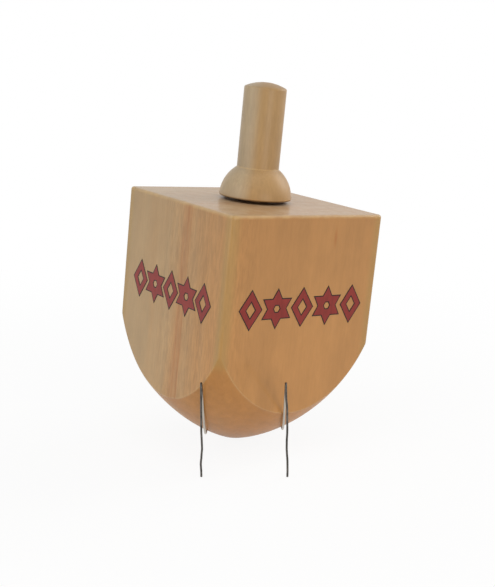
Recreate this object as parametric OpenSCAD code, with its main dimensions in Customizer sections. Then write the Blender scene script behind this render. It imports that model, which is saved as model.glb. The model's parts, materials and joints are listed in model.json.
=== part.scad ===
// A turned wooden dreidel, held upright with a slight lean by a stand bent from one steel wire.
// Millimetres, +Z up. The origin is on the table, at the middle of the stand, and the front is at -Y.

/* [Block] */
// Width of the square block across its flat faces
block_w = 80.5; // [64:0.5:110]
// Height of the block from the tip of the nose to the top face
block_h = 110.5; // [96:0.5:150]
// Radius of the sanded upright edges
edge_r = 1.8; // [1.6:0.1:6]
// Radius of the sanded rim round the top face
rim_r = 1.2; // [0.4:0.1:1.4]

/* [Nose] */
// Radius of the small round tip that the dreidel spins on
tip_r = 11.6; // [6:0.2:16]
// How far the widest circle of the turning stands outside the corners of the block
girth_over = 3.4; // [0.9:0.1:8]
// Height above the tip at which the turned curve stands upright
girth_z = 78.2; // [68:0.2:92]

/* [Handle] */
// Diameter of the stem
stem_d = 18.6; // [12:0.2:26]
// Height of the whole handle above the top face of the block
handle_h = 51.6; // [36:0.2:80]
// Rise of the domed end of the stem
dome_h = 2.3; // [0.6:0.1:5]
// Radius of the edge round the domed end
dome_edge_r = 1; // [0.4:0.1:2]
// Diameter of the half-ball collar
collar_d = 32; // [29:0.2:44]
// Gap between the collar and the block, where the tenon shows
collar_gap = 1.4; // [0.4:0.1:4]
// Radius of the lower edge of the collar
collar_edge_r = 0.8; // [0.3:0.1:2]
// Diameter of the tenon that goes down into the block
tenon_d = 12; // [8:0.2:16]
// Length of the tenon inside the block
tenon_l = 28; // [14:0.5:44]
// Radial clearance of the tenon in its bore
tenon_gap = 0.05; // [0.02:0.01:0.1]

/* [Printed rows] */
// Thickness of the ink
ink_t = 0.12; // [0.06:0.01:0.3]
// Height of a mark
mark_h = 16; // [10:0.5:22]
// Width of a lozenge mark
lozenge_w = 11; // [9:0.2:13]
// Width of a red stroke
stroke_w = 2.3; // [1:0.1:2.6]
// Width of the dark line round each red stroke
line_w = 0.4; // [0.2:0.05:0.6]
// Number of marks in a row, with a lozenge at each end
row_count = 5; // [3:2:5]
// Length of the rows on the right front and left rear faces
long_row_l = 65; // [60:1:74]
// Length of the rows on the left front and right rear faces
short_row_l = 61; // [60:1:74]
// Height of the middle of the rows above the tip of the nose
row_z = 71.5; // [60:0.5:92]

/* [Wire stand] */
// Diameter of the wire
wire_d = 0.9; // [0.6:0.05:2]
// Distance between the middles of the stand's two sides
side_gap = 34.6; // [24:0.2:46]
// Radius of the circle on which the wire holds the nose, as a share of half the block's width
seat_share = 1.04; // [0.95:0.01:1.1]
// Height of the tops of the hooks above the table
hook_h = 42.8; // [38:0.2:50]
// Bend radius at the top of a hook
hook_r = 1.5; // [1.2:0.1:4]
// Inward lean of the legs from the hooks down to the table
leg_lean = 9; // [0:0.5:14]
// Bend radius from a rear leg into the floor bar
bar_bend_r = 3; // [1.2:0.1:8]

/* [Pose] */
// Lean of the dreidel towards the right
lean = 5.5; // [0:0.1:8]
// Turn of the block about its own axis
turn = 36; // [0:1:90]
// Height of the nose tip above the table
tip_h = 0.3; // [0.2:0.05:3]
// Clearance between the wire and the nose
seat_gap = 0.3; // [0.2:0.05:0.6]

/* [Hidden] */

WOOD = "#B98F5E";
HANDLE_WOOD = "#B99A74";
RED_INK = "#95382F";
DARK_INK = "#241A18";
WIRE = "#5C5C5C";

// Overrun of every cut past the face that it opens
cut_over = 1;
// Finest rounding of circles
smooth_fn = 96;

// Width of a side face between its rounded edges
flat_w = block_w - 2 * edge_r;

// The turned nose: a round tip, then one arc that ends upright at the girth
girth_r = block_w / sqrt(2) + girth_over;
arc_r = (pow(girth_r, 2) + pow(girth_z - tip_r, 2) - pow(tip_r, 2)) / (2 * (girth_r - tip_r));
arc_x = girth_r - arc_r;
tip_join_share = tip_r / (arc_r - tip_r);
tip_join_r = -arc_x * tip_join_share;
tip_join_z = tip_r - (girth_z - tip_r) * tip_join_share;

// Height of the turned surface above the tip at radius r
function nose_z(r) =
    r < tip_join_r ? tip_r - sqrt(pow(tip_r, 2) - pow(r, 2))
    : girth_z - sqrt(pow(arc_r, 2) - pow(r - arc_x, 2));

// The wire holds the nose on a circle just above the foot of its four arches
wire_r = wire_d / 2;
side_x = side_gap / 2;
seat_r = block_w / 2 * seat_share;
seat_z = nose_z(seat_r);
// Lines square to the nose along that circle meet here, so the dreidel can lean about this point
pivot_z = seat_z + (girth_z - seat_z) * seat_r / (seat_r - arc_x);
pivot_h = tip_h + pivot_z;
seat_reach = sqrt(pow(seat_r, 2) + pow(pivot_z - seat_z, 2));
stand_off = 1 + (wire_r + seat_gap) / seat_reach;
touch_x = side_x / stand_off;
touch_y = sqrt(pow(seat_r, 2) - pow(touch_x, 2));
// The same touching point on the middle line of the wire, and the slope of the wire there
strand_y = touch_y * stand_off;
strand_z = pivot_h - (pivot_z - seat_z) * stand_off;
strand_slope = atan(touch_y / (pivot_z - seat_z));

// Middle of the nose's long arc in the plane across the stand, on the left (-1) or right (1) side
function arc_mid_x(side) = side * arc_x * cos(lean) + (girth_z - pivot_z) * sin(lean);
function arc_mid_z(side) = pivot_h - side * arc_x * sin(lean) + (girth_z - pivot_z) * cos(lean);

// Each cradle bend passes just under that arc, so the two sides differ as the dreidel leans
function cradle_low(side) = arc_mid_z(side)
    - sqrt(pow(arc_r + wire_r + seat_gap, 2) - pow(side * side_x - arc_mid_x(side), 2));
function cradle_r(side) = (tan(strand_slope) * strand_y - strand_z + cradle_low(side))
    / (tan(strand_slope) * sin(strand_slope) + cos(strand_slope) - 1);
function strand_low_y(side) = cradle_r(side) * sin(strand_slope);
function strand_low_z(side) = cradle_low(side) + cradle_r(side) * (1 - cos(strand_slope));

// Middle of the bend at the top of a hook, worked out along the sloping strand
hook_z = hook_h - wire_r - hook_r;
hook_run = (hook_z - strand_z + hook_r * cos(strand_slope)) / sin(strand_slope);
hook_y = strand_y + hook_run * cos(strand_slope) + hook_r * sin(strand_slope);
function strand_l(side) = hook_run + (strand_y - strand_low_y(side)) / cos(strand_slope);

// A leg runs down at its lean from the end of a hook bend to the height low_z
leg_top_y = hook_y + hook_r * cos(leg_lean);
leg_top_z = hook_z - hook_r * sin(leg_lean);
function leg_l(low_z) = (leg_top_z - low_z) / cos(leg_lean);
function leg_low_y(low_z) = leg_top_y - leg_l(low_z) * sin(leg_lean);

// A front leg is cut square and stands on the edge of its cut end
front_low_z = wire_r * sin(leg_lean);
// A rear leg ends where its bend into the floor bar begins
rear_low_z = wire_r + bar_bend_r * cos(leg_lean);
bar_y = leg_low_y(rear_low_z) - bar_bend_r * sin(leg_lean);
bar_l = side_gap - 2 * bar_bend_r;

// The dome of the stem, and the rounded edge that touches both the dome and the stem's side
stem_r = stem_d / 2;
stem_h = handle_h - collar_gap;
dome_r = (pow(stem_r, 2) + pow(dome_h, 2)) / (2 * dome_h);
dome_edge_x = stem_r - dome_edge_r;
dome_edge_z = stem_h - dome_r + sqrt(pow(dome_r - dome_edge_r, 2) - pow(dome_edge_x, 2));
dome_join_x = dome_edge_x * dome_r / (dome_r - dome_edge_r);
collar_r = collar_d / 2;
bore_l = tenon_l + collar_gap;

// Sizes of the printed marks, all measured square to their sides
star_r = mark_h / 2;
star_inner = star_r / 2;
lozenge_inner = lozenge_w / 2 * star_r / sqrt(pow(lozenge_w / 2, 2) + pow(star_r, 2));

// Puts a piece of the dreidel at its leaning place in the stand
module standing() {
    translate([0, 0, pivot_h])
        rotate([0, lean, 0])
            translate([0, 0, -pivot_z])
                rotate([0, 0, turn])
                    children();
}

module rounded_square(w, r) {
    square([w - 2 * r, w], center = true);
    square([w, w - 2 * r], center = true);
    for (x = [-1, 1], y = [-1, 1])
        translate([x * (w / 2 - r), y * (w / 2 - r)])
            circle(r = r, $fn = smooth_fn);
}

// Half section of the turning: tip, arc and the barrel above the girth
module turning_profile() {
    intersection() {
        translate([0, tip_r]) circle(r = tip_r, $fn = smooth_fn);
        square([tip_r, tip_join_z]);
    }
    intersection() {
        translate([arc_x, girth_z]) circle(r = arc_r, $fn = smooth_fn);
        translate([0, tip_join_z]) square([girth_r + cut_over, girth_z - tip_join_z]);
    }
    // The barrel starts inside the arc, so that both are one piece; the square block lies well within them there
    translate([0, girth_z - cut_over]) square([girth_r, block_h - girth_z + 2 * cut_over]);
}

// What the rounded rim takes away, in section, with the corner of the section at the origin
module rim_profile() {
    difference() {
        translate([-rim_r, -rim_r]) square(rim_r + cut_over);
        translate([-rim_r, -rim_r]) circle(r = rim_r, $fn = smooth_fn);
    }
}

// The rim cut along each side of the top face and round the corner at its end
module rim_cuts() {
    for (side = [0:3])
        rotate([0, 0, 90 * side]) {
            translate([block_w / 2, flat_w / 2, block_h])
                rotate([90, 0, 0])
                    linear_extrude(flat_w) rim_profile();
            translate([flat_w / 2, flat_w / 2, block_h])
                rotate_extrude(angle = 90, $fn = smooth_fn)
                    translate([edge_r, 0]) rim_profile();
        }
}

module block() {
    color(WOOD)
        standing()
            difference() {
                intersection() {
                    linear_extrude(block_h) rounded_square(block_w, edge_r);
                    rotate_extrude($fn = smooth_fn) turning_profile();
                }
                rim_cuts();
                translate([0, 0, block_h - bore_l])
                    cylinder(d = tenon_d + 2 * tenon_gap, h = bore_l + cut_over, $fn = smooth_fn);
            }
}

// Half section of the collar: the upper half of a ball with a softened lower edge
module collar_profile() {
    intersection() {
        circle(r = collar_r, $fn = smooth_fn);
        translate([0, collar_edge_r]) square([collar_r, collar_r]);
    }
    square([collar_r - collar_edge_r, 2 * collar_edge_r]);
    translate([collar_r - collar_edge_r, collar_edge_r]) circle(r = collar_edge_r, $fn = smooth_fn);
}

// Half section of the stem, which ends in a shallow dome with a rounded edge
module stem_profile() {
    square([stem_r, dome_edge_z]);
    translate([dome_edge_x, dome_edge_z]) circle(r = dome_edge_r, $fn = smooth_fn);
    intersection() {
        translate([0, stem_h - dome_r]) circle(r = dome_r, $fn = smooth_fn);
        translate([0, dome_edge_z]) square([dome_join_x, stem_h - dome_edge_z]);
    }
}

module handle() {
    color(HANDLE_WOOD)
        standing()
            rotate_extrude($fn = smooth_fn) {
                translate([0, block_h + collar_gap]) collar_profile();
                translate([0, block_h + collar_gap]) stem_profile();
                translate([0, block_h - tenon_l]) square([tenon_d / 2, tenon_l + collar_gap]);
            }
}

// Two crossed triangles, grown by grow on every side; inner is the distance from middle to side
module star(inner, grow) {
    for (a = [90, -90])
        rotate(a) circle(r = 2 * (inner + grow), $fn = 3);
}

module lozenge(grow) {
    k = (lozenge_inner + grow) / lozenge_inner;
    polygon([[lozenge_w / 2 * k, 0], [0, star_r * k], [-lozenge_w / 2 * k, 0], [0, -star_r * k]]);
}

// One closed triangle band of the star
module triangle_band(a, grow) {
    rotate(a)
        difference() {
            circle(r = 2 * (star_inner + grow), $fn = 3);
            circle(r = 2 * (star_inner - stroke_w - grow), $fn = 3);
        }
}

// A mark in red when grow is zero, or its wider dark backing
module mark(is_star, grow) {
    if (is_star) {
        triangle_band(90, grow);
        triangle_band(-90, grow);
    } else {
        difference() {
            lozenge(grow);
            lozenge(-stroke_w - grow);
        }
    }
}

// A row of marks on one face; lozenges and stars take turns
module mark_row(row_l, grow) {
    pitch = (row_l - lozenge_w) / (row_count - 1);
    for (i = [0:row_count - 1])
        translate([(i - (row_count - 1) / 2) * pitch, row_z])
            mark(i % 2 == 1, grow);
}

// Lays flat drawing on a face of the block; face 0 is at -Y before the turn, and 3 is at -X
module on_face(face) {
    standing()
        rotate([0, 0, 90 * face])
            translate([0, -block_w / 2, 0])
                rotate([90, 0, 0])
                    linear_extrude(ink_t)
                        children();
}

module red_marks(face, row_l) {
    color(RED_INK)
        on_face(face)
            mark_row(row_l, 0);
}

module dark_lines(face, row_l) {
    color(DARK_INK)
        on_face(face)
            difference() {
                mark_row(row_l, line_w);
                mark_row(row_l, 0);
            }
}

// A side of the stand is drawn flat, with x away from the middle and y up, then stood on edge.
// Facing is 0 for its rear half and 180 for its front half.
module side_wire(side, facing) {
    color(WIRE)
        translate([side * side_x, 0, 0])
            rotate([90, 0, 90 + facing])
                children();
}

// A straight run of wire along x
module wire_run(l) {
    rotate([0, 90, 0])
        cylinder(d = wire_d, h = l, $fn = smooth_fn);
}

// A clockwise bend that starts at the given angle from its middle
module wire_bend(r, start, sweep) {
    rotate([180, 0, start])
        rotate_extrude(angle = sweep, $fn = smooth_fn)
            translate([r, 0]) circle(d = wire_d, $fn = smooth_fn);
}

// A leg, drawn upwards from its lower end, with what is added to it there
module leg(side, facing, low_z) {
    side_wire(side, facing)
        translate([leg_low_y(low_z), low_z, 0])
            rotate([0, 0, 90 - leg_lean]) {
                wire_run(leg_l(low_z));
                children();
            }
}

module front_leg(side) {
    leg(side, 180, front_low_z);
}

// A rear leg, with the bend that lays the wire on the table towards the other side
module rear_leg(side) {
    leg(side, 0, rear_low_z)
        rotate([-90 * side, 0, 0])
            translate([0, bar_bend_r, 0])
                wire_bend(bar_bend_r, -90, 90);
}

module rear_floor_bar() {
    color(WIRE)
        translate([-bar_l / 2, bar_y, wire_r])
            wire_run(bar_l);
}

// Half of the cradle bend, the strand that steadies the nose, and the bend over to the leg,
// drawn along the strand
module hook(side, facing) {
    side_wire(side, facing)
        translate([strand_low_y(side), strand_low_z(side), 0])
            rotate([0, 0, strand_slope]) {
                translate([0, cradle_r(side), 0]) wire_bend(cradle_r(side), -90, strand_slope);
                wire_run(strand_l(side));
                translate([strand_l(side), -hook_r, 0])
                    wire_bend(hook_r, 90, 90 + strand_slope + leg_lean);
            }
}

block();
handle();
red_marks(0, long_row_l);  // right_face_red_marks
dark_lines(0, long_row_l);  // right_face_dark_lines
red_marks(3, short_row_l);  // left_face_red_marks
dark_lines(3, short_row_l);  // left_face_dark_lines
red_marks(1, short_row_l);  // rear_right_face_red_marks
dark_lines(1, short_row_l);  // rear_right_face_dark_lines
red_marks(2, long_row_l);  // rear_left_face_red_marks
dark_lines(2, long_row_l);  // rear_left_face_dark_lines
front_leg(-1);  // left_front_leg
hook(-1, 180);  // left_front_hook
hook(-1, 0);  // left_rear_hook
rear_leg(-1);  // left_rear_leg
front_leg(1);  // right_front_leg
hook(1, 180);  // right_front_hook
hook(1, 0);  // right_rear_hook
rear_leg(1);  // right_rear_leg
rear_floor_bar();
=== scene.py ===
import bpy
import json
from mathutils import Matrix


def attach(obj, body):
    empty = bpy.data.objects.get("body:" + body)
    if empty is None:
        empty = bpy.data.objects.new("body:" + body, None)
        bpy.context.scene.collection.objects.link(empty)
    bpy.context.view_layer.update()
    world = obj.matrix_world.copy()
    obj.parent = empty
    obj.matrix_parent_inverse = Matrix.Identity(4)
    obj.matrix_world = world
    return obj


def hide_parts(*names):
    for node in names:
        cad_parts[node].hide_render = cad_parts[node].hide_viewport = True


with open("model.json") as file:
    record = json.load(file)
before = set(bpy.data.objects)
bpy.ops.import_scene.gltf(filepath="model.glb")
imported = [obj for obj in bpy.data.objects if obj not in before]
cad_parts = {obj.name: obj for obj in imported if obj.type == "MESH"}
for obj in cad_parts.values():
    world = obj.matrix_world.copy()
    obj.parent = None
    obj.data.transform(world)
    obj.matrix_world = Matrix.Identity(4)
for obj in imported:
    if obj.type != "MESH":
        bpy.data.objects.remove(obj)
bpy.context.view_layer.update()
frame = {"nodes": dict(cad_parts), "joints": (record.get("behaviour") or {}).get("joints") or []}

import json
import math

import bmesh
import bpy
from mathutils import Matrix, Vector

bl_info = {
    "name": "Wooden dreidel on a wire stand",
    "version": (1, 0, 0),
    "blender": (4, 5, 0),
    "location": "View3D > Sidebar > Dreidel",
    "description": "Dresses a packed dreidel and its bent wire stand in lacquered wood, ink and steel",
    "category": "Object",
}

# The spin joint gives the dreidel's axis: it leans in the stand, and the block is turned about it
SPIN = next(joint for joint in frame["joints"] if joint["name"] == "dreidel_spin")
AXIS = Vector(SPIN["axis"])
PIVOT = Vector(SPIN["pos_m"])
LEAN = math.atan2(AXIS.x, AXIS.z)
TURN = math.radians(36)
STANCE = Matrix.Rotation(LEAN, 3, "Y") @ Matrix.Rotation(TURN, 3, "Z")

# Sizes of the block and the handle in metres, in the dreidel's own upright frame with its origin at the pivot
OWN_POINTS = {name: [STANCE.transposed() @ (v.co - PIVOT) for v in frame["nodes"][name].data.vertices]
              for name in ("block", "handle")}
HALF_BLOCK = max(p.x for p in OWN_POINTS["block"])
TIP_BELOW_PIVOT = min(p.z for p in OWN_POINTS["block"])
BLOCK_TOP = max(p.z for p in OWN_POINTS["block"])
COLLAR_R = max(p.x for p in OWN_POINTS["handle"])
COLLAR_FOOT = min(p.z for p in OWN_POINTS["handle"] if p.xy.length > COLLAR_R / 2)
# The camera sees this direction of the own frame as left to right, and the front edge is at nought
ACROSS = (math.sqrt(0.5), -math.sqrt(0.5), 0.0)

# Where one look passes into the next in that frame: just inside the flats, just under the top, above the
# nose, at the tip, round and under the collar, and on the collar
FLAT_SKIN = (HALF_BLOCK - 0.0006, HALF_BLOCK - 0.0001)
TOP_SKIN = (BLOCK_TOP - 0.0009, BLOCK_TOP - 0.0002)
NOSE_END = (0.0, 0.004)
SOILED_TIP = (TIP_BELOW_PIVOT, TIP_BELOW_PIVOT + 0.003)
GAP_FLOOR = (BLOCK_TOP - 0.0020, BLOCK_TOP - 0.0010)
COLLAR_EDGE = (COLLAR_R - 0.0032, COLLAR_R - 0.0012)
COLLAR_END = (COLLAR_FOOT + 0.010, COLLAR_FOOT + 0.014)
COLLAR_UNDERSIDE = (COLLAR_FOOT + 0.0002, COLLAR_FOOT + 0.0008)

RED_MARKS = [name for name in frame["nodes"] if name.endswith("red_marks")]
DARK_LINES = [name for name in frame["nodes"] if name.endswith("dark_lines")]
WIRES = [name for name in frame["nodes"] if name.endswith(("leg", "hook", "bar"))]
HOOK_TOP = max(v.co.z for name in WIRES for v in frame["nodes"][name].data.vertices)
BENT_LEGS = {
    # How far each front leg strays sideways, as (height, stray) in metres
    "left_front_leg": [(0.0, -0.0005), (0.0023, -0.0005), (0.006, -0.00065), (0.0098, -0.0003), (0.0135, 0.0),
                       (0.0172, -0.0001), (0.021, -0.0002), (0.030, -0.0001), (0.0405, 0.0)],
    "right_front_leg": [(0.0, 0.00105), (0.0023, 0.0011), (0.008, 0.001), (0.0098, 0.0008), (0.0135, 0.0006),
                        (0.017, 0.0006), (0.021, 0.00075), (0.030, 0.0006), (0.0375, 0.0001), (0.0405, 0.0)],
}

# Settings of a node that mixes colours, with the number of its output, and of one that eases its change
COLOURS = {"data_type": "RGBA", "out": 2}
EASED = {"interpolation_type": "SMOOTHSTEP"}
# The span that holds most values of a noise, the same for two noises added, and a narrower one that parts
# a noise into patches
MOST = (0.30, 0.70)
MOST_OF_TWO = (0.70, 1.30)
PATCHES = (0.35, 0.65)
# Turn of the streak patterns about the grain, away from the faces
ASKEW = math.radians(34)

# How each piece was cut from its board: the place of the pith, the two ends of the change from sapwood to
# heartwood as the camera sees them from left to right, and how strongly rings and flecks show at most
BLOCK_BOARD = ((0.155, 0.085, 0.0), (-0.058, 0.008), 1.0)
HANDLE_BOARD = ((0.060, -0.045, 0.0), (-0.005, 0.001), 0.45)
# How strongly rings and flecks show at least, far from the place where the cut crosses them
QUIET_SHARE = 0.25
# The grain wanders slowly along its length, and the rings are drawn out along a slightly tilted pith
DRIFT_STRETCH = (1.0, 1.0, 0.4)
RING_STRETCH = (1.0, 1.0, 0.12)
RING_TILT = (math.radians(1.6), math.radians(-1.2), 0.0)
# A wave texture of scale 1 repeats over this length
WAVE_LENGTH = math.pi / 10
# The part of a ring over which it darkens into latewood, and what is left of it in the faintest patch
LATEWOOD = (0.45, 0.92)
FAINT_RING_SHARE = 0.1

# Patterns in the wood, as their mean width and length in metres and a seed
BOUNDARY_STREAKS = (0.014, 0.110, 0.0)
RING_PATCHES = (0.016, 0.060, 5.3)
FINE_STRIPES = (0.0032, 0.035, 3.1)
BROAD_STRIPES = (0.009, 0.090, 9.4)
SHORT_CLOUDS = (0.012, 0.018, 2.2)
STREAK_BREAKS = (0.002, 0.050, 4.4)
NOSE_MOTTLE = (0.004, 0.012, 8.8)
END_BLOTCHES = (0.006, 0.006, 3.9)
RIM_PATCHES = (0.006, 0.014, 6.1)
FLECK_SEED = 7.7
# How far each pattern takes the brightness up and down
FLECK_TONE = 0.10
FIBRE_TONE = 0.025
FINE_TONE = 0.045
BROAD_TONE = 0.050
CLOUD_TONE = 0.055
NOSE_TONE = 0.10
# The spans of the noise that make the flecks and the blotches of the end grain
FLECK_SPAN = (0.36, 0.66)
BLOTCH_SPAN = (0.40, 0.60)

# How far the softened and the true surface direction agree where an arris's wear and painted highlight are
# strongest and where they end, and the share of the edge wear and painted highlight that it takes
ARRIS_SPAN = (0.95, 0.998)
ARRIS_SHARE = 0.8
# How strongly each mark on the block shows, and how many of its half widths the streak's band fades over
LINE_SHARE = 0.55
BAND_SHARE = 0.50
BAND_FADE = 1.8
MARK_SHARE = 0.45
RUN_SHARE = 0.60
SOIL_SHARE = 0.35
# What is left of a mark where the streak breaks, the end grain is palest and the rim's wear and painted
# highlight are faintest
BROKEN_STREAK_SHARE = 0.45
PALE_END_SHARE = 0.60
FAINTEST_RIM_SHARE = 0.30
# What is left of the lacquer on the soaked nose and where the block is darkened, on the soiled tip and by the
# painted shade in the gap, and its weight where shade is painted under the collar
NOSE_LACQUER_SHARE = 0.4
DARKENED_LACQUER_SHARE = 0.05
SHADED_HANDLE_COAT = 0.02

# Depth of the relief in metres, and how far the roughness swings below and above its setting
WOOD_DEPTH = 0.0002
WOOD_SWING = (-0.05, 0.07)
INK_DEPTH = 0.0001
INK_SWING = (-0.05, 0.05)
WIRE_DEPTH = 0.00005
WIRE_SWING = (-0.08, 0.10)
# Soft clouds in the ink, as their width and length in metres and a seed, and how far the ink's tone goes
INK_CLOUDS = (0.006, 0.006, 1.7)
INK_TONE = 0.14

# Each soft light's place, the height above the origin that it looks at, its width in metres and its tint
LIGHTS = {
    "key_light": ((0.50, -0.76, 0.07), 0.04, 0.36, "#FFF4E6"),
    "fill_light": ((-0.75, -0.52, 0.26), 0.07, 0.80, "#F2F6FA"),
    "window_light": ((0.60, 0.28, 0.42), 0.13, 0.42, "#FFFFFF"),
    "top_light": ((0.0, -0.35, 0.80), 0.12, 0.60, "#FFFAF2"),
}
# The floor is a wide disc a hair below the feet, so that no two faces share a plane
FLOOR_RADIUS = 12.0
FLOOR_SIDES = 96
FLOOR_DROP = 0.0001
# The floor starts to fade at this share of the radius at which it has turned white
FADE_START_SHARE = 0.2
# Width of the camera's frame in millimetres
SENSOR_WIDTH = 36.0


def linear(code):
    """An sRGB hex value as a linear colour with full alpha."""
    parts = [int(code[i:i + 2], 16) / 255 for i in (1, 3, 5)]
    return [p / 12.92 if p <= 0.04045 else ((p + 0.055) / 1.055) ** 2.4 for p in parts] + [1.0]


def grey(level):
    return (level, level, level, 1.0)


def add(tree, kind, *values, out=0, **settings):
    """Adds a shader node with its settings, and gives back one of its outputs.

    The values fill its inputs in order, or by name where one dict is given, and a socket is linked.
    """
    node = tree.nodes.new("ShaderNode" + kind)
    for name, value in settings.items():
        setattr(node, name, value)
    named = values[0] if values and isinstance(values[0], dict) else dict(enumerate(values))
    for name, value in named.items():
        if isinstance(value, bpy.types.NodeSocket):
            tree.links.new(value, node.inputs[name])
        else:
            node.inputs[name].default_value = value
    return None if out is None else node.outputs[out]


def new_material(name, **shader_inputs):
    """A material with a Principled shader, whose even values sit on its own sockets."""
    material = bpy.data.materials.new(name)
    material.use_nodes = True
    tree = material.node_tree
    shader = tree.nodes["Principled BSDF"]
    for socket, value in shader_inputs.items():
        shader.inputs[socket.replace("_", " ")].default_value = value
    return material, tree, shader


def dress(node_name, material):
    """Gives a CAD node its finish."""
    slots = frame["nodes"][node_name].data.materials
    slots.clear()
    slots.append(material)


def own_frame(tree):
    """Places in the dreidel's own upright frame, so that the grain follows the wood and not the lean."""
    place = add(tree, "TexCoord", out="Object")
    return add(tree, "Mapping", {"Vector": place, "Location": PIVOT, "Rotation": STANCE.to_euler("XYZ")},
               vector_type="TEXTURE")


def streaks(tree, place, width, length, seed=0.0, detail=2.0):
    """Streaks of a mean width and length along the grain, laid askew to the faces so that no row repeats."""
    drawn_out = add(tree, "Mapping", {"Vector": place, "Location": (seed, seed, seed),
                                      "Rotation": (0.0, 0.0, ASKEW), "Scale": (1.0, 1.0, width / length)})
    return add(tree, "TexNoise", {
        "Vector": drawn_out, "Scale": 1 / width, "Detail": detail, "Roughness": 0.6})


def hardwood(name, look, colours, board, coat_roughness):
    """Pale beech-like wood, sanded and lacquered: faint growth rings, wandering streaks and short flecks
    under a clear coat that mirrors the room at a low angle. Arrises are softened and painted pale, as rubbed
    wear and a painted highlight."""
    material, tree, shader = new_material(
        name, Coat_Weight=look.coat, Coat_Roughness=coat_roughness, Coat_IOR=1.5, IOR=1.45,
        Specular_IOR_Level=look.pore_shine)
    pale, warm, dark = [linear(code) for code in colours]
    pith, boundary, liveliness = board
    own = own_frame(tree)

    # The grain wanders sideways as it climbs
    slow = add(tree, "VectorMath", own, DRIFT_STRETCH, operation="MULTIPLY")
    drift = add(tree, "TexNoise", {"Vector": slow, "Scale": 1 / look.drift_length, "Detail": 1.0},
                out="Color")
    wavy = add(tree, "VectorMath", drift, (look.drift, look.drift, 0.0), own, operation="MULTIPLY_ADD")

    # Greyer sapwood passes into warmer heartwood, over a boundary that follows the streaks. They average
    # one half, which moves it by half its width, and that is taken back.
    across = add(tree, "VectorMath", own, ACROSS, operation="DOT_PRODUCT", out="Value")
    width = boundary[1] - boundary[0]
    strayed = add(tree, "Math", streaks(tree, wavy, *BOUNDARY_STREAKS), width, across,
                  operation="MULTIPLY_ADD")
    heart = add(tree, "MapRange", strayed, *[end + width / 2 for end in boundary], 0.0, 1.0, **EASED)
    colour = add(tree, "Mix", {0: heart, 6: pale, 7: warm}, **COLOURS)

    # Rings, fibres and flecks show most at one place beside the front edge, where the cut crosses them
    from_flecks = add(tree, "Math", across, look.fleck_place, operation="SUBTRACT")
    from_flecks = add(tree, "Math", from_flecks, operation="ABSOLUTE")
    showing = add(tree, "MapRange", from_flecks, look.fleck_reach / 2, look.fleck_reach,
                  liveliness, QUIET_SHARE, **EASED)

    # Growth rings round a pith outside the piece
    round_pith = add(tree, "Mapping", {
        "Vector": wavy, "Location": pith, "Rotation": RING_TILT, "Scale": RING_STRETCH})
    rings = add(tree, "TexWave", {
        "Vector": round_pith, "Scale": WAVE_LENGTH / look.ring_spacing, "Distortion": 7.0, "Detail": 3.0,
        "Detail Scale": 0.35, "Detail Roughness": 0.6},
        wave_type="RINGS", rings_direction="Z", wave_profile="SAW")
    late = add(tree, "MapRange", rings, *LATEWOOD, 0.0, look.ring_contrast, **EASED)
    patchy = add(tree, "MapRange", streaks(tree, wavy, *RING_PATCHES), *PATCHES, FAINT_RING_SHARE, 1.0)
    late = add(tree, "Math", late, patchy, operation="MULTIPLY")
    late = add(tree, "Math", late, showing, operation="MULTIPLY")
    colour = add(tree, "Mix", {0: late, 6: colour, 7: dark}, **COLOURS)

    # Fibres and flecks are drawn about twice as wide as real ones, so that they show
    fibre = streaks(tree, wavy, look.fibre_width, look.fibre_length, detail=3.0)
    fleck = streaks(tree, wavy, look.fleck_width, look.fleck_length, seed=FLECK_SEED)
    fine = streaks(tree, wavy, *FINE_STRIPES)
    broad = streaks(tree, wavy, *BROAD_STRIPES)
    clouds = streaks(tree, wavy, *SHORT_CLOUDS)
    changes = [add(tree, "MapRange", fleck, *FLECK_SPAN, FLECK_TONE, -FLECK_TONE),
               add(tree, "MapRange", fibre, *MOST, -FIBRE_TONE, FIBRE_TONE),
               add(tree, "MapRange", fine, *MOST, -FINE_TONE, FINE_TONE)]
    tones = [add(tree, "Math", change, showing, 1.0, operation="MULTIPLY_ADD") for change in changes]
    tones += [add(tree, "MapRange", broad, *MOST, 1 - BROAD_TONE, 1 + BROAD_TONE),
              add(tree, "MapRange", clouds, *MOST, 1 - CLOUD_TONE, 1 + CLOUD_TONE)]
    for tone in tones:
        colour = add(tree, "VectorMath", {0: colour, "Scale": tone}, operation="SCALE")

    # Arrises are sanded soft and painted pale: rubbed wear and a painted highlight on the rounding
    soft = add(tree, "Bevel", look.arris_r, samples=6)
    sharp = add(tree, "NewGeometry", out="Normal")
    agreed = add(tree, "VectorMath", soft, sharp, operation="DOT_PRODUCT", out="Value")
    pale_highlight = add(tree, "MapRange", agreed, *ARRIS_SPAN, look.edge_wear_and_highlight * ARRIS_SHARE, 0.0)
    colour = add(tree, "Mix", {0: pale_highlight, 6: colour, 7: linear(look.edge_wear_and_highlight_colour)}, **COLOURS)

    relief = add(tree, "Math", fibre, fleck, operation="ADD")
    bump = add(tree, "Bump", {"Height": relief, "Strength": 0.03, "Distance": WOOD_DEPTH, "Normal": soft})
    rough = add(tree, "MapRange", fibre, *MOST, *[look.roughness + swing for swing in WOOD_SWING])
    tree.links.new(rough, shader.inputs["Roughness"])
    tree.links.new(bump, shader.inputs["Normal"])
    tree.links.new(soft, shader.inputs["Coat Normal"])
    return material, tree, shader, own, wavy, colour


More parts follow.
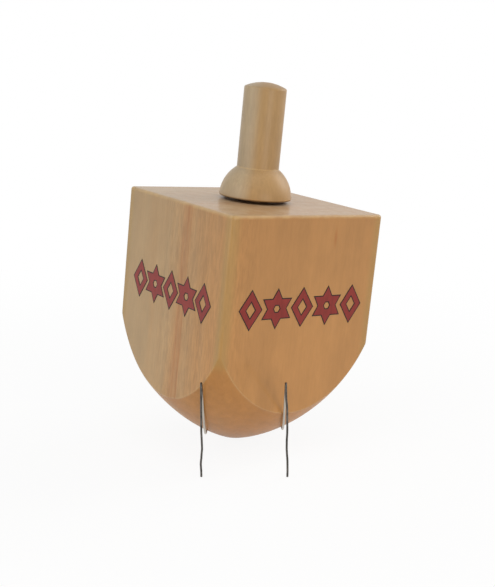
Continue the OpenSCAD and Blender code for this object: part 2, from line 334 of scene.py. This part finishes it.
def block_wood(look):
    """The block's wood, with its reddish mineral streak, its browner nose, its blotched end grain, its
    yellower upright edges and its soiled tip."""
    material, tree, shader, own, wavy, colour = hardwood(
        "lacquered_hardwood_block", look, (look.block_pale, look.block_warm, look.block_dark),
        BLOCK_BOARD, look.coat_roughness)
    x, y, z = [add(tree, "SeparateXYZ", own, out=axis) for axis in "XYZ"]
    level = add(tree, "VectorMath", own, (1.0, 1.0, 0.0), operation="MULTIPLY")
    radius = add(tree, "VectorMath", level, operation="LENGTH", out="Value")
    off_x = add(tree, "Math", x, operation="ABSOLUTE")
    off_y = add(tree, "Math", y, operation="ABSOLUTE")
    widest = add(tree, "Math", off_x, off_y, operation="MAXIMUM")

    # The block is painted a little lighter towards its lower end, as painted bounce light from the floor
    lower = add(tree, "MapRange", z, TIP_BELOW_PIVOT, BLOCK_TOP, 1 + look.painted_bounce, 1 - look.painted_bounce)
    colour = add(tree, "VectorMath", {0: colour, "Scale": lower}, operation="SCALE")

    # A mineral streak runs up the left face: a thin dark line with a soft reddish band behind it
    wavy_y = add(tree, "SeparateXYZ", wavy, out="Y")
    past_line = add(tree, "Math", wavy_y, look.streak_place, operation="SUBTRACT")
    off_line = add(tree, "Math", past_line, operation="ABSOLUTE")
    line = add(tree, "MapRange", off_line, 0.0, look.line_width, LINE_SHARE, 0.0, **EASED)
    off_band = add(tree, "Math", past_line, look.streak_width, operation="SUBTRACT")
    off_band = add(tree, "Math", off_band, operation="ABSOLUTE")
    band = add(tree, "MapRange", off_band, 0.0, look.streak_width * BAND_FADE, BAND_SHARE, 0.0, **EASED)
    broken = add(tree, "MapRange", streaks(tree, own, *STREAK_BREAKS), *PATCHES, BROKEN_STREAK_SHARE, 1.0)
    on_left = add(tree, "Math", x, 0.0, operation="LESS_THAN")
    streak = add(tree, "Math", line, band, operation="MAXIMUM")
    streak = add(tree, "Math", streak, broken, operation="MULTIPLY")
    streak = add(tree, "Math", streak, on_left, operation="MULTIPLY")
    colour = add(tree, "Mix", {0: streak, 6: colour, 7: linear(look.streak_colour)}, **COLOURS)

    # One short dark mark near the top of the right face
    mark_scale = [1 / size for size in (look.mark_width, look.mark_width, look.mark_length)]
    off_mark = add(tree, "VectorMath", own, (look.mark_x, -HALF_BLOCK, look.mark_z), operation="SUBTRACT")
    off_mark = add(tree, "VectorMath", off_mark, mark_scale, operation="MULTIPLY")
    off_mark = add(tree, "VectorMath", off_mark, operation="LENGTH", out="Value")
    mark = add(tree, "MapRange", off_mark, 0.0, 1.0, MARK_SHARE, 0.0, **EASED)
    colour = add(tree, "Mix", {0: mark, 6: colour, 7: linear(look.streak_colour)}, **COLOURS)

    # The turned nose cuts across the fibres, drinks more lacquer and is browner, with a mottle of its own
    inside_flats = add(tree, "MapRange", widest, *FLAT_SKIN, look.nose_stain, 0.0)
    below = add(tree, "MapRange", z, *NOSE_END, 1.0, 0.0)
    turned = add(tree, "Math", inside_flats, below, operation="MULTIPLY")
    mottled = add(tree, "MapRange", streaks(tree, wavy, *NOSE_MOTTLE), *MOST, 1 - NOSE_TONE, 1 + NOSE_TONE)
    browner = add(tree, "VectorMath", {0: linear(look.nose_colour)[:3], "Scale": mottled},
                  operation="SCALE")
    colour = add(tree, "Mix", {0: turned, 6: colour, 7: browner}, **COLOURS)

    # The top is end grain, which takes the lacquer in blotches
    blotched = add(tree, "MapRange", streaks(tree, own, *END_BLOTCHES), *BLOTCH_SPAN,
                   look.end_stain * PALE_END_SHARE, look.end_stain)
    end_grain = add(tree, "MapRange", z, *TOP_SKIN, 0.0, blotched)
    colour = add(tree, "Mix", {0: end_grain, 6: colour, 7: linear(look.end_colour)}, **COLOURS)

    # Lacquer has run along the rounded upright edges and left them yellower
    corner = add(tree, "Math", off_x, off_y, operation="ADD")
    edge_span = [HALF_BLOCK * 2 - reach for reach in (look.edge_reach, look.edge_reach / 3)]
    at_edge = add(tree, "MapRange", corner, *edge_span, 0.0, RUN_SHARE, **EASED)
    colour = add(tree, "Mix", {0: at_edge, 6: colour, 7: linear(look.run_colour)}, **COLOURS)

    # The rim of the top is painted pale in places: rubbed wear and a painted highlight on the rounded rim
    from_top = add(tree, "Math", BLOCK_TOP, z, operation="SUBTRACT")
    from_side = add(tree, "Math", HALF_BLOCK, widest, operation="SUBTRACT")
    from_rim = add(tree, "Math", from_top, from_side, operation="ADD")
    at_rim = add(tree, "MapRange", from_rim, look.rim_reach / 2, look.rim_reach, 1.0, 0.0)
    patchy = add(tree, "MapRange", streaks(tree, own, *RIM_PATCHES), *PATCHES, FAINTEST_RIM_SHARE, 1.0)
    rim_wear_and_highlight = add(tree, "Math", at_rim, patchy, operation="MULTIPLY")
    rim_wear_and_highlight = add(tree, "Math", rim_wear_and_highlight, look.edge_wear_and_highlight, operation="MULTIPLY")
    colour = add(tree, "Mix", {0: rim_wear_and_highlight, 6: colour, 7: linear(look.edge_wear_and_highlight_colour)}, **COLOURS)

    # The tip is darkened by the tables that it has spun on, and shade is painted into the gap under the
    # collar
    soiled = add(tree, "MapRange", z, *SOILED_TIP, SOIL_SHARE, 0.0)
    painted_gap_shade = add(tree, "MapRange", z, *GAP_FLOOR, 0.0, look.gap_shade_depth)
    near_axis = add(tree, "MapRange", radius, *COLLAR_EDGE, 1.0, 0.0, **EASED)
    darkening = add(tree, "Math", soiled, painted_gap_shade, operation="MAXIMUM")
    darkening = add(tree, "Math", darkening, near_axis, operation="MULTIPLY")
    colour = add(tree, "Mix", {0: darkening, 6: colour, 7: linear(look.soil_and_shade_colour)}, **COLOURS)
    tree.links.new(colour, shader.inputs["Base Color"])

    # The lacquer soaks into the nose and the end grain, and is dulled on the soiled tip and in the painted
    # shade of the gap
    lacquer = add(tree, "MapRange", turned, 0.0, look.nose_stain, look.coat, look.coat * NOSE_LACQUER_SHARE)
    lacquer = add(tree, "Math", end_grain, (look.top_coat - look.coat) / look.end_stain, lacquer,
                  operation="MULTIPLY_ADD")
    coat_left = add(tree, "MapRange", darkening, 0.0, look.gap_shade_depth, 1.0, DARKENED_LACQUER_SHARE)
    tree.links.new(add(tree, "Math", lacquer, coat_left, operation="MULTIPLY"), shader.inputs["Coat Weight"])
    return material


def handle_wood(look):
    """The handle's wood, a greyer stick with a warm side, turned and lacquered like the block."""
    material, tree, shader, own, _, colour = hardwood(
        "lacquered_hardwood_handle", look, (look.handle_pale, look.handle_warm, look.handle_dark),
        HANDLE_BOARD, look.handle_coat_roughness)
    z = add(tree, "SeparateXYZ", own, out="Z")

    # The half-ball collar is painted lighter than the stem: painted light on the collar
    tone = add(tree, "MapRange", z, *COLLAR_END, look.collar_painted_light, 1.0)
    colour = add(tree, "VectorMath", {0: colour, "Scale": tone}, operation="SCALE")

    # Shade is painted on the collar's underside, over the gap, and its lacquer is dulled there
    darkening = add(tree, "MapRange", z, *COLLAR_UNDERSIDE, look.gap_shade_depth, 0.0, **EASED)
    colour = add(tree, "Mix", {0: darkening, 6: colour, 7: linear(look.soil_and_shade_colour)}, **COLOURS)
    tree.links.new(colour, shader.inputs["Base Color"])
    lacquer = add(tree, "MapRange", darkening, 0.0, look.gap_shade_depth, look.handle_coat, SHADED_HANDLE_COAT)
    tree.links.new(lacquer, shader.inputs["Coat Weight"])
    return material


def screen_ink(name, code, look, roughness):
    """Screen-printed enamel ink under the lacquer: an even, slightly soft colour, a little broken by the
    grain under it, with the faint tooth that a screen leaves."""
    material, tree, shader = new_material(
        name, Coat_Weight=0.1, Coat_Roughness=0.25, Specular_IOR_Level=0.25, IOR=1.5)
    own = own_frame(tree)
    grain = streaks(tree, own, look.mottle_size, look.mottle_length)
    mottle = add(tree, "Math", grain, streaks(tree, own, *INK_CLOUDS), operation="ADD")
    tone = add(tree, "MapRange", mottle, *MOST_OF_TWO, 1 - INK_TONE, 1 + INK_TONE)
    colour = add(tree, "VectorMath", {0: linear(code)[:3], "Scale": tone}, operation="SCALE")
    tooth = streaks(tree, own, look.tooth_size, look.tooth_size)
    rough = add(tree, "MapRange", tooth, *MOST, *[roughness + swing for swing in INK_SWING])
    bump = add(tree, "Bump", {"Height": tooth, "Strength": 0.08, "Distance": INK_DEPTH})
    tree.links.new(colour, shader.inputs["Base Color"])
    tree.links.new(rough, shader.inputs["Roughness"])
    tree.links.new(bump, shader.inputs["Normal"])
    return material


def drawn_steel(name, look, highlight_level):
    """Bright-drawn mild steel wire, painted dark grey as a painted reflection of a dark room, with pale
    glints, blotched by thin oxide, and with the fine scratches of the drawing die along it. Below the bends
    it can be painted paler, a painted highlight on the hooks' strands."""
    material, tree, shader = new_material(name, Metallic=1.0)
    place = add(tree, "TexCoord", out="Object")
    # The steel's dark grey is a painted reflection of a dark room, blotched between two darkened tones
    blotch = streaks(tree, place, look.blotch_size, look.blotch_size, detail=4.0)
    share = add(tree, "MapRange", blotch, *PATCHES, 0.0, 1.0)
    colour = add(tree, "Mix", {0: share, 6: linear(look.dark_reflection_steel), 7: linear(look.bright)}, **COLOURS)
    # Below the top bends the strands are painted paler, a painted highlight
    height = add(tree, "SeparateXYZ", place, out="Z")
    highlight_span = [HOOK_TOP - drop for drop in (look.highlight_start * 2, look.highlight_start)]
    pale_highlight = add(tree, "MapRange", height, *highlight_span, highlight_level, 0.0)
    colour = add(tree, "Mix", {0: pale_highlight, 6: colour, 7: linear(look.pale_highlight)}, **COLOURS)
    scratch = streaks(tree, place, look.scratch_size, look.scratch_length)
    rough = add(tree, "MapRange", scratch, *MOST, *[look.roughness + swing for swing in WIRE_SWING])
    bump = add(tree, "Bump", {"Height": scratch, "Strength": 0.15, "Distance": WIRE_DEPTH})
    tree.links.new(colour, shader.inputs["Base Color"])
    tree.links.new(rough, shader.inputs["Roughness"])
    tree.links.new(bump, shader.inputs["Normal"])
    return material


def stray_at(table, height):
    """The sideways stray at a height, eased between the table's rows."""
    for (low, a), (high, b) in zip(table, table[1:]):
        if height <= high:
            t = max(0.0, (height - low) / (high - low))
            return a + (b - a) * t * t * (3 - 2 * t)
    return table[-1][1]


def bend_leg(node_name, table, rings):
    """A hand-bent copy of a leg, cut into rings and pushed sideways by its table."""
    shape = bmesh.new()
    shape.from_mesh(frame["nodes"][node_name].data)
    top = max(v.co.z for v in shape.verts)
    for i in range(1, rings):
        everything = shape.verts[:] + shape.edges[:] + shape.faces[:]
        bmesh.ops.bisect_plane(shape, geom=everything, plane_co=(0, 0, top * i / rings), plane_no=(0, 0, 1))
    for v in shape.verts:
        v.co.x += stray_at(table, v.co.z)
    mesh = bpy.data.meshes.new(node_name + "_bent")
    shape.to_mesh(mesh)
    shape.free()
    for face in mesh.polygons:
        face.use_smooth = True
    piece = bpy.data.objects.new(node_name + "_bent", mesh)
    bpy.context.scene.collection.objects.link(piece)
    return piece


def colour_property(name, description, code):
    return bpy.props.StringProperty(name=name, description=description, default=code)


def length_property(name, description, default):
    return bpy.props.FloatProperty(name=name, description=description, default=default, unit="LENGTH",
                                   subtype="DISTANCE", precision=5)


def share_property(name, description, default):
    return bpy.props.FloatProperty(name=name, description=description, default=default, subtype="FACTOR",
                                   min=0.0, max=1.0)


def power_property(name, description, default):
    return bpy.props.FloatProperty(name=name, description=description, default=default, unit="POWER")


class DreidelWood(bpy.types.PropertyGroup):
    """Colours and grain sizes of the block and the handle."""
    block_pale: colour_property("Block sapwood", "Colour of the greyer side of the block", "#AE9067")
    block_warm: colour_property("Block heartwood", "Colour of the warmer side of the block", "#B5834C")
    block_dark: colour_property("Block latewood", "Colour of the dark part of a growth ring", "#8C5E36")
    nose_colour: colour_property("Turned nose", "Colour of the turned nose under its lacquer", "#B27B41")
    end_colour: colour_property("End grain", "Colour of the sanded end grain on the top", "#C0A685")
    handle_pale: colour_property("Handle sapwood", "Colour of the greyer side of the handle", "#A99475")
    handle_warm: colour_property("Handle heartwood", "Colour of the warmer side of the handle", "#A68559")
    handle_dark: colour_property("Handle latewood", "Colour of the dark rings of the handle", "#8E6236")
    # The pale edge colour is rubbed wear and a painted highlight on the arrises and the rim
    edge_wear_and_highlight_colour: colour_property("Pale edge", "Colour of the rubbed arrises", "#CDAA74")
    run_colour: colour_property("Lacquer run", "Colour of the upright edges where lacquer ran", "#A6854C")
    streak_colour: colour_property("Mineral streak", "Colour of the streak on the left face", "#A25B22")
    # This colour darkens the soiled tip, and is painted shade in the gap under the collar and on the collar's
    # underside
    soil_and_shade_colour: colour_property("Grime", "Colour of the grime under the collar and at the tip", "#4A2510")
    ring_spacing: length_property("Ring spacing", "Distance between growth rings", 0.0034)
    fibre_width: length_property("Fibre width", "Width of the fibres, coarser than real ones", 0.0007)
    fibre_length: length_property("Fibre length", "Length of the fibre pattern", 0.0140)
    fleck_width: length_property("Fleck width", "Width of the flecks, coarser than real ones", 0.0009)
    fleck_length: length_property("Fleck length", "Length of the flecks along the grain", 0.0055)
    fleck_place: length_property("Fleck place", "Where flecks are strongest, from the front edge", -0.0130)
    fleck_reach: length_property("Fleck reach", "How far the flecks go to both sides of their place", 0.0260)
    drift: length_property("Drift", "How far the grain wanders sideways", 0.0036)
    drift_length: length_property("Drift length", "Distance over which the grain wanders", 0.0260)
    mark_x: length_property("Mark place", "Where the dark mark lies across the right face", 0.0145)
    mark_z: length_property("Mark height", "Height of the dark mark above the pivot", 0.0400)
    mark_width: length_property("Mark width", "Half width of the dark mark", 0.0014)
    mark_length: length_property("Mark length", "Half length of the dark mark", 0.0065)
    edge_reach: length_property("Edge reach", "How far the yellower edges go along both faces", 0.0060)
    # The pale rim is rubbed wear and a painted highlight along the rounded rim
    rim_reach: length_property("Rim reach", "How far the rubbed rim goes, along top and sides", 0.0016)
    arris_r: length_property("Arris radius", "How far the arrises are sanded soft", 0.0010)
    streak_place: length_property("Streak place", "Where the streak's line lies on the left face", -0.0090)
    streak_width: length_property("Streak width", "Half width of the reddish band", 0.0026)
    line_width: length_property("Streak line", "Half width of the dark line in the streak", 0.0011)
    pore_shine: share_property("Pore shine", "Shine of the wood itself, which the lacquer hides", 0.25)
    ring_contrast: share_property("Ring contrast", "How strongly the rings show", 0.14)
    # The block is painted lighter towards the bottom, as painted bounce light from the floor
    painted_bounce: share_property("Bounce light", "How much the block pales from top to bottom", 0.085)
    nose_stain: share_property("Nose stain", "How far the nose takes its own colour", 0.72)
    end_stain: share_property("End grain", "How far the top takes its own colour", 0.70)
    top_coat: share_property("Top lacquer", "Weight of the lacquer on the top face", 0.33)
    handle_coat: share_property("Handle lacquer", "Weight of the lacquer on the handle", 0.32)
    handle_coat_roughness: share_property(
        "Handle lacquer roughness", "Roughness of the lacquer on the handle", 0.33)
    # The collar is painted lighter than the stem, as painted light
    collar_painted_light: bpy.props.FloatProperty(
        name="Collar tone", description="How much lighter the collar is than the stem", default=1.14)
    # How dark the painted shade in the gap under the collar is
    gap_shade_depth: share_property("Gap shade", "How dark the gap under the collar is", 0.55)
    # How far the arrises are painted pale, as rubbed wear and a painted highlight
    edge_wear_and_highlight: share_property("Edge wear and highlight", "How far the arrises are rubbed pale", 0.55)
    roughness: share_property("Wood roughness", "Roughness of the sanded wood", 0.52)
    coat: share_property("Lacquer", "Weight of the clear lacquer on the block", 0.45)
    coat_roughness: share_property("Lacquer roughness", "Roughness of the lacquer on the block", 0.20)


class DreidelInk(bpy.types.PropertyGroup):
    """Colours and tooth of the printed rows."""
    red: colour_property("Red ink", "Colour of the marks", "#842B24")
    black: colour_property("Dark ink", "Colour of the line round each mark", "#0C0706")
    red_roughness: share_property("Red ink roughness", "Roughness of the marks", 0.42)
    black_roughness: share_property("Dark ink roughness", "Roughness of the line round each mark", 0.5)
    mottle_size: length_property("Mottle size", "Width of the grain that shows through the ink", 0.0008)
    mottle_length: length_property("Mottle length", "Length of the grain that shows through the ink", 0.016)
    tooth_size: length_property("Tooth size", "Size of the dots that the screen leaves", 0.0005)


class DreidelWire(bpy.types.PropertyGroup):
    """Finish and bends of the stand's wire."""
    # Both steel colours are darkened: their dark grey is a painted reflection of a dark room
    dark_reflection_steel: colour_property("Dark steel", "Colour of the oxidised steel", "#3A3734")
    bright: colour_property("Bright steel", "Colour of the cleaner steel", "#6A655F")
    # The pale steel is a painted highlight on the hooks' strands, below their top bends
    pale_highlight: colour_property("Highlight steel", "Colour of the strands that the nose rubs", "#C4BDB0")
    hook_highlight: share_property("Hook highlight", "How far the nose has rubbed the hooks bright", 0.8)
    highlight_start: length_property("Highlight start", "How far below the top of a hook the rubbing starts", 0.0050)
    blotch_size: length_property("Blotch size", "Size of the oxide blotches", 0.0030)
    scratch_size: length_property("Scratch size", "Spacing of the scratches, coarser than real", 0.0003)
    scratch_length: length_property("Scratch length", "Length of the drawing scratches", 0.0030)
    roughness: share_property("Roughness", "Roughness of the drawn wire", 0.38)
    rings: bpy.props.IntProperty(
        name="Rings", description="Rings of points along a hand-bent leg", default=28, min=8)


class DreidelStage(bpy.types.PropertyGroup):
    """Camera, lights and floor."""
    camera_place: bpy.props.FloatVectorProperty(
        name="Camera place", description="Where the camera stands", default=(0.0016, -0.4819, 0.1718),
        unit="LENGTH", subtype="TRANSLATION")
    camera_dip: bpy.props.FloatProperty(
        name="Camera dip", description="How far the camera looks down", default=math.radians(12.12),
        unit="ROTATION", subtype="ANGLE")
    lens: bpy.props.FloatProperty(
        name="Lens", description="Focal length in millimetres on a 36 mm frame", default=67.02)
    floor_colour: colour_property("Floor", "Colour of the floor", "#F0EFEC")
    floor_clear: length_property("Floor fade", "Radius at which the floor has faded into the white", 0.45)
    floor_glow: share_property("Floor white", "How near to pure white the floor is beside the object", 0.90)
    key_light: power_property("Key light", "Power of the warm light at the front right", 2.9)
    fill_light: power_property("Fill light", "Power of the cool light at the left", 3.7)
    window_light: power_property("Window light", "Power of the light high at the rear right", 1.9)
    top_light: power_property("Top light", "Power of the light overhead", 1.1)
    world_level: bpy.props.FloatProperty(
        name="Room", description="Brightness of the room round the object", default=0.45)


class DREIDEL_OT_block(bpy.types.Operator):
    """Dresses the block in lacquered hardwood"""
    bl_idname = "dreidel.block"
    bl_label = "Block"

    def execute(self, context):
        dress("block", block_wood(context.scene.dreidel_wood))
        return {"FINISHED"}


class DREIDEL_OT_handle(bpy.types.Operator):
    """Dresses the handle in lacquered hardwood"""
    bl_idname = "dreidel.handle"
    bl_label = "Handle"

    def execute(self, context):
        dress("handle", handle_wood(context.scene.dreidel_wood))
        return {"FINISHED"}


class DREIDEL_OT_prints(bpy.types.Operator):
    """Inks the printed rows on all four faces"""
    bl_idname = "dreidel.prints"
    bl_label = "Printed rows"

    def execute(self, context):
        look = context.scene.dreidel_ink
        if len(RED_MARKS) != len(DARK_LINES):
            raise RuntimeError("each row of red marks needs its dark lines")
        red = screen_ink("screen_ink_brick_red", look.red, look, look.red_roughness)
        black = screen_ink("screen_ink_black", look.black, look, look.black_roughness)
        for name in RED_MARKS:
            dress(name, red)
        for name in DARK_LINES:
            dress(name, black)
        return {"FINISHED"}


class DREIDEL_OT_stand(bpy.types.Operator):
    """Dresses the stand's wires and puts the hand-bent front legs in place"""
    bl_idname = "dreidel.stand"
    bl_label = "Wire stand"

    def execute(self, context):
        look = context.scene.dreidel_wire
        steel = drawn_steel("drawn_steel_wire", look, 0.0)
        # The hooks' strands get a painted highlight below their top bends
        highlighted_steel = drawn_steel("drawn_steel_wire_rubbed", look, look.hook_highlight)
        for name in WIRES:
            dress(name, highlighted_steel if name.endswith("hook") else steel)
        for name, table in BENT_LEGS.items():
            if name not in WIRES:
                raise RuntimeError(f"the frame has no {name}")
            piece = bend_leg(name, table, look.rings)
            piece.data.materials.clear()
            piece.data.materials.append(steel)
            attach(piece, "stand")
            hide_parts(name)
        return {"FINISHED"}


def soft_light(name, place, aim_height, width, power, tint):
    """A large square soft light that looks at a point above the origin."""
    lamp = bpy.data.lights.new(name, "AREA")
    lamp.shape = "SQUARE"
    lamp.size = width
    lamp.energy = power
    lamp.color = linear(tint)[:3]
    light = bpy.data.objects.new(name, lamp)
    light.location = place
    look_along = Vector((0.0, 0.0, aim_height)) - Vector(place)
    light.rotation_euler = look_along.to_track_quat("-Z", "Y").to_euler()
    bpy.context.scene.collection.objects.link(light)


def seen_directly(tree):
    """One for a ray from the camera, a glossy surface or a clear one, and nought for the others."""
    camera, glossy, clear = [add(tree, "LightPath", out=f"Is {kind} Ray")
                             for kind in ("Camera", "Glossy", "Transmission")]
    shown = add(tree, "Math", camera, glossy, operation="MAXIMUM")
    return add(tree, "Math", shown, clear, operation="MAXIMUM")


def floor_finish(look):
    """Matt white studio board: shadowed near the object, and pure white to the camera farther off."""
    material = bpy.data.materials.new("matt_white_studio_board")
    material.use_nodes = True
    tree = material.node_tree
    tree.nodes.clear()
    board = add(tree, "BsdfDiffuse", linear(look.floor_colour))
    lit = add(tree, "BsdfDiffuse", grey(1.0))
    white = add(tree, "Emission", grey(1.0), 1.0)
    reach = add(tree, "VectorMath", add(tree, "TexCoord", out="Object"), operation="LENGTH", out="Value")
    share = add(tree, "MapRange", reach, look.floor_clear * FADE_START_SHARE, look.floor_clear,
                look.floor_glow, 1.0, **EASED)
    seen = add(tree, "MixShader", share, lit, white)
    add(tree, "OutputMaterial", add(tree, "MixShader", seen_directly(tree), board, seen), out=None)
    return material


def white_room(look):
    """An even room that looks pure white, and lights the object less than it shows."""
    world = bpy.data.worlds.new("white_room")
    world.use_nodes = True
    tree = world.node_tree
    tree.nodes.clear()
    room = add(tree, "Background", grey(1.0), look.world_level)
    white = add(tree, "Background", grey(1.0), 1.0)
    add(tree, "OutputWorld", add(tree, "MixShader", seen_directly(tree), room, white), out=None)
    return world


class DREIDEL_OT_stage(bpy.types.Operator):
    """Makes the floor, the soft lights, the room and the camera"""
    bl_idname = "dreidel.stage"
    bl_label = "Stage"

    def execute(self, context):
        scene = context.scene
        look = scene.dreidel_stage
        shape = bmesh.new()
        bmesh.ops.create_circle(shape, cap_ends=True, segments=FLOOR_SIDES, radius=FLOOR_RADIUS)
        mesh = bpy.data.meshes.new("floor")
        shape.to_mesh(mesh)
        shape.free()
        floor = bpy.data.objects.new("floor", mesh)
        floor.location.z = -FLOOR_DROP
        mesh.materials.append(floor_finish(look))
        scene.collection.objects.link(floor)

        for name, (place, aim_height, width, tint) in LIGHTS.items():
            soft_light(name, place, aim_height, width, getattr(look, name), tint)
        scene.world = white_room(look)

        lens = bpy.data.cameras.new("camera")
        lens.sensor_fit = "AUTO"
        lens.sensor_width = SENSOR_WIDTH
        lens.lens = look.lens
        camera = bpy.data.objects.new("camera", lens)
        camera.location = look.camera_place
        camera.rotation_euler = (math.radians(90) - look.camera_dip, 0.0, 0.0)
        scene.collection.objects.link(camera)
        scene.camera = camera
        scene.view_settings.view_transform = "Standard"
        return {"FINISHED"}


OPERATORS = (DREIDEL_OT_block, DREIDEL_OT_handle, DREIDEL_OT_prints, DREIDEL_OT_stand, DREIDEL_OT_stage)
SETTINGS = {"dreidel_wood": DreidelWood, "dreidel_ink": DreidelInk, "dreidel_wire": DreidelWire,
            "dreidel_stage": DreidelStage}


class DREIDEL_PT_panel(bpy.types.Panel):
    """Lists the pieces and their settings"""
    bl_idname = "DREIDEL_PT_panel"
    bl_label = "Dreidel"
    bl_space_type = "VIEW_3D"
    bl_region_type = "UI"
    bl_category = "Dreidel"

    def draw(self, context):
        for operator in OPERATORS:
            self.layout.operator(operator.bl_idname)
        for name in SETTINGS:
            group = getattr(context.scene, name)
            box = self.layout.box()
            for field in group.bl_rna.properties.keys():
                if field not in ("rna_type", "name"):
                    box.prop(group, field)


def register():
    for kind in (*SETTINGS.values(), *OPERATORS, DREIDEL_PT_panel):
        bpy.utils.register_class(kind)
    for name, kind in SETTINGS.items():
        setattr(bpy.types.Scene, name, bpy.props.PointerProperty(type=kind))


def unregister():
    for name in SETTINGS:
        delattr(bpy.types.Scene, name)
    for kind in reversed((*SETTINGS.values(), *OPERATORS, DREIDEL_PT_panel)):
        bpy.utils.unregister_class(kind)


def main():
    register()
    bpy.ops.dreidel.block()
    bpy.ops.dreidel.handle()
    bpy.ops.dreidel.prints()
    bpy.ops.dreidel.stand()
    bpy.ops.dreidel.stage()


if __name__ == "__main__":
    main()
